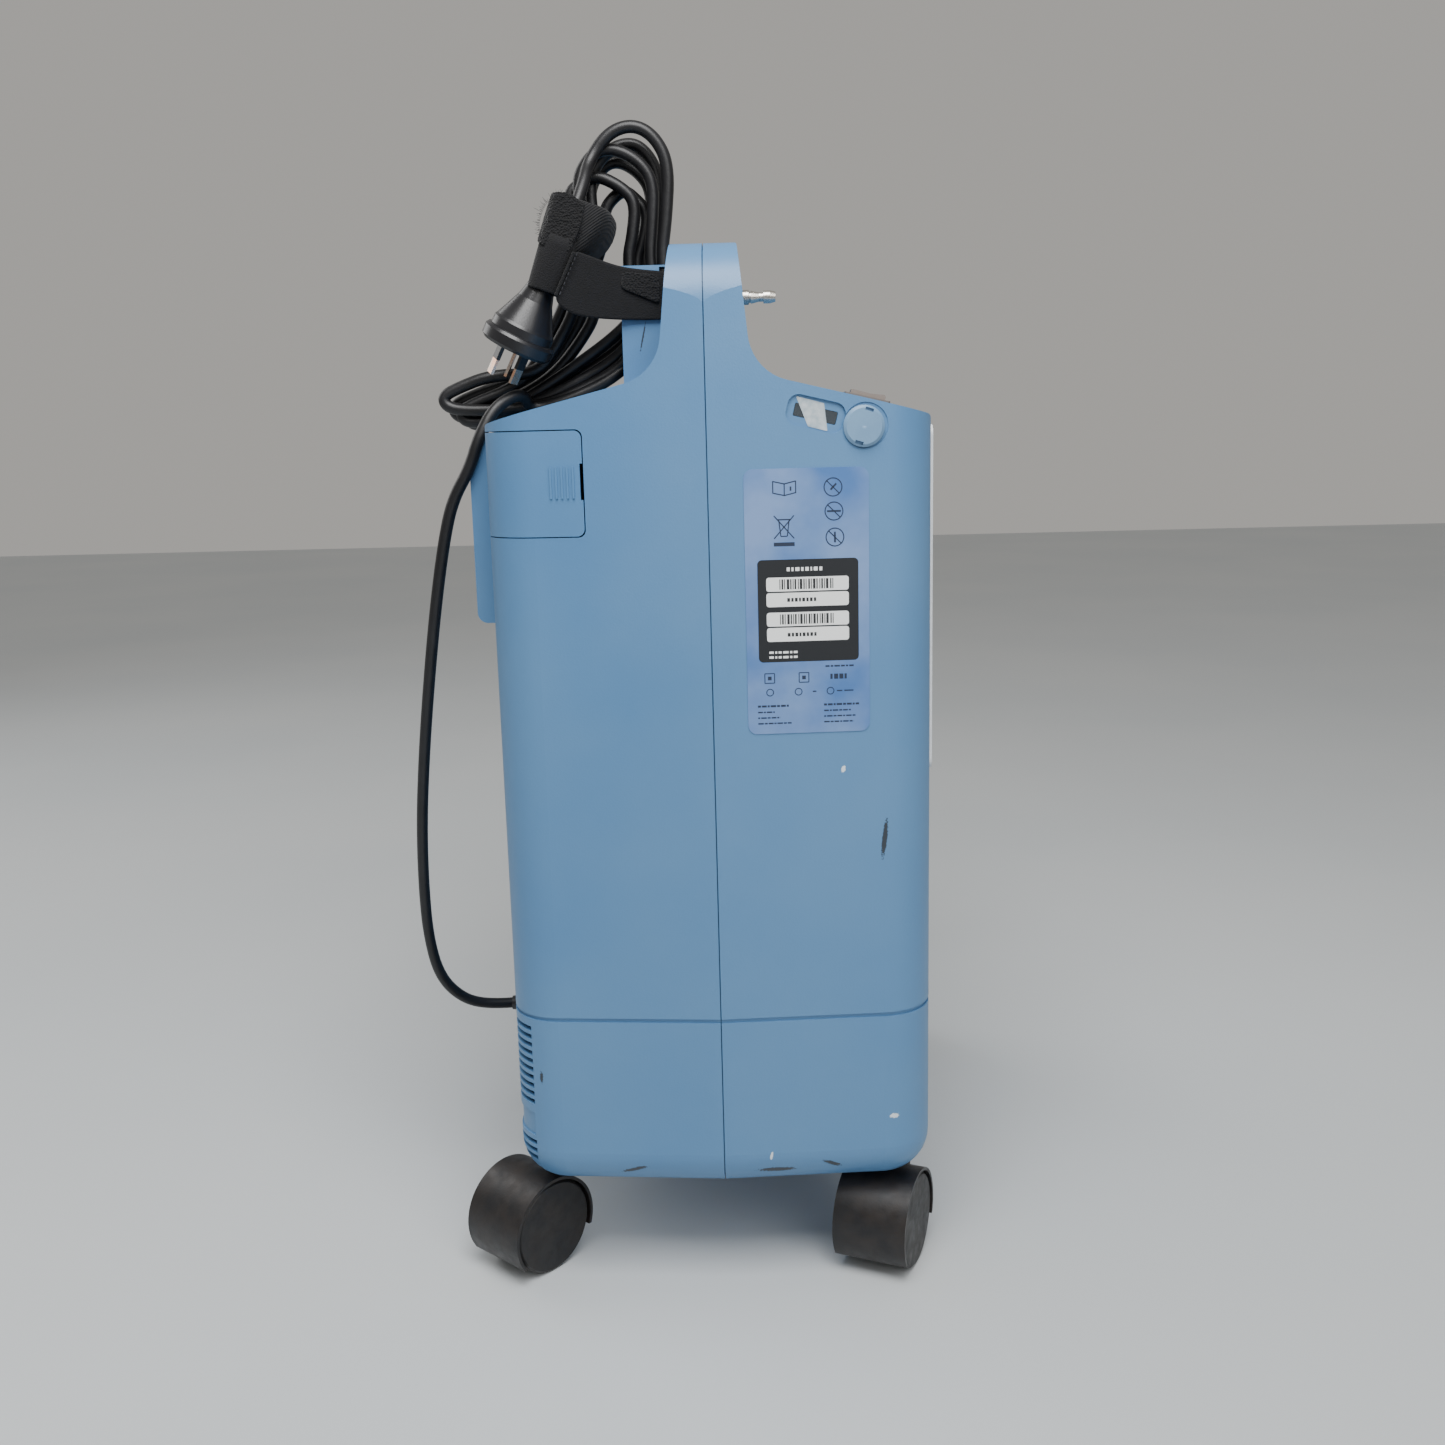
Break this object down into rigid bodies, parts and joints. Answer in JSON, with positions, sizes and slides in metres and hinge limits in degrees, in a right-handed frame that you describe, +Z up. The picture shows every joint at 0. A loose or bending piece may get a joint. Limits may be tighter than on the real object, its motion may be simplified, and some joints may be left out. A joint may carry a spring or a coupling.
{
  "type": "oxygen concentrator",
  "caption": "Mobile oxygen concentrator: blue two-part shell with carrying handle, inner compressor and sieve beds, swivel casters and a coiled mains lead",
  "frame": {"origin": "on the floor under the centre of the body", "axes": "X is the width with the side labelled left at -X, the front faces -Y, +Z is up"},
  "size_m": [0.3875, 0.3514, 0.6608],
  "materials": {
    "shell": "textured",
    "white_panel": "satin",
    "label": "satin",
    "overlay": "satin",
    "black_plastic": "satin",
    "clear": "gloss",
    "tape": "gloss",
    "taupe": "satin",
    "nickel": "polished",
    "brass": "satin",
    "steel": "satin",
    "aluminium": "satin",
    "rubber": "matte",
    "tread": "satin",
    "webbing": "matte",
    "foam": "matte",
    "lamp": "gloss"
  },
  "bodies": {
    "body": {"alarm_buzzer": "black_plastic", "base_chassis": "steel", "circuit_board": "black_plastic", "compressor_heads": "aluminium", "compressor_motor": "aluminium", "compressor_mounts": "rubber", "control_panel": "overlay", "cooling_fan_frame": "black_plastic", "cord_coil": "rubber", "cord_strap": "webbing", "cover_screws": "steel", "door_hinge_pin": "steel", "exhaust_muffler": "black_plastic", "filter_tray": "white_panel", "flow_meter_body": "aluminium", "flow_meter_tube": "clear", "front_cover": "shell", "front_insert_panel": "white_panel", "heat_exchanger": "aluminium", "hepa_filter": "foam", "hoses": "rubber", "hour_meter": "black_plastic", "hour_meter_window": "clear", "intake_foam_filter": "foam", "intake_silencer": "foam", "mains_cord": "rubber", "outlet_barb": "nickel", "oxygen_sensor": "foam", "plug_body": "black_plastic", "plug_pins": "brass", "pressure_regulator": "aluminium", "product_tank": "aluminium", "rating_label": "label", "rear_cover": "shell", "run_capacitor": "steel", "service_cap": "shell", "sieve_bed_front": "aluminium", "sieve_bed_rear": "aluminium", "solenoid_valves": "black_plastic", "sound_box": "white_panel", "status_lights": "lamp", "strain_relief": "black_plastic", "switch_frame": "black_plastic", "tape_strip": "tape", "valve_manifold": "white_panel"},
    "door": {"filter_door": "shell"},
    "rocker": {"power_rocker": "taupe"},
    "knob": {"flow_knob": "black_plastic"},
    "float": {"flow_float": "steel"},
    "fan": {"fan_rotor": "black_plastic"},
    "swivel_front_left": {"caster_hood_front_left": "black_plastic"},
    "wheels_front_left": {"caster_wheels_front_left": "tread"},
    "swivel_rear_left": {"caster_hood_rear_left": "black_plastic"},
    "wheels_rear_left": {"caster_wheels_rear_left": "tread"},
    "swivel_front_right": {"caster_hood_front_right": "black_plastic"},
    "wheels_front_right": {"caster_wheels_front_right": "tread"},
    "swivel_rear_right": {"caster_hood_rear_right": "black_plastic"},
    "wheels_rear_right": {"caster_wheels_rear_right": "tread"}
  },
  "joints": [
    {"name": "filter_door_hinge", "type": "hinge", "parent": "body", "child": "door", "pos_m": [-0.1346, 0.119, 0.465], "axis": [0, 0, 1], "range_deg": [-90, 0]},
    {"name": "power_rocker_hinge", "type": "hinge", "parent": "body", "child": "rocker", "pos_m": [-0.15, -0.0862, 0.50565], "axis": [1, 0, 0], "range_deg": [-12, 0]},
    {"name": "flow_knob_turn", "type": "hinge", "parent": "body", "child": "knob", "pos_m": [-0.024, -0.12, 0.356], "axis": [0, -1, 0], "range_deg": [0, 300]},
    {"name": "flow_float_rise", "type": "slide", "parent": "body", "child": "float", "axis": [0, 0, 1], "range_m": [0, 0.085]},
    {"name": "fan_spin", "type": "hinge", "parent": "body", "child": "fan", "pos_m": [0.02, 0, 0.25], "axis": [0, 0, 1], "continuous": true},
    {"name": "swivel_front_left", "type": "hinge", "parent": "body", "child": "swivel_front_left", "pos_m": [-0.135, -0.1035, 0.06], "axis": [0, 0, 1], "continuous": true},
    {"name": "roll_front_left", "type": "hinge", "parent": "swivel_front_left", "child": "wheels_front_left", "pos_m": [-0.15709, -0.09412, 0.028], "axis": [-0.3907, -0.9205, 0], "continuous": true},
    {"name": "swivel_rear_left", "type": "hinge", "parent": "body", "child": "swivel_rear_left", "pos_m": [-0.135, 0.1035, 0.06], "axis": [0, 0, 1], "continuous": true},
    {"name": "roll_rear_left", "type": "hinge", "parent": "swivel_rear_left", "child": "wheels_rear_left", "pos_m": [-0.15338, 0.11893, 0.028], "axis": [-0.6428, -0.766, 0], "continuous": true},
    {"name": "swivel_front_right", "type": "hinge", "parent": "body", "child": "swivel_front_right", "pos_m": [0.135, -0.1035, 0.06], "axis": [0, 0, 1], "continuous": true},
    {"name": "roll_front_right", "type": "hinge", "parent": "swivel_front_right", "child": "wheels_front_right", "pos_m": [0.15197, -0.12047, 0.028], "axis": [0.7071, 0.7071, 0], "continuous": true},
    {"name": "swivel_rear_right", "type": "hinge", "parent": "body", "child": "swivel_rear_right", "pos_m": [0.135, 0.1035, 0.06], "axis": [0, 0, 1], "continuous": true},
    {"name": "roll_rear_right", "type": "hinge", "parent": "swivel_rear_right", "child": "wheels_rear_right", "pos_m": [0.15638, 0.0926, 0.028], "axis": [0.454, 0.891, 0], "continuous": true}
  ]
}
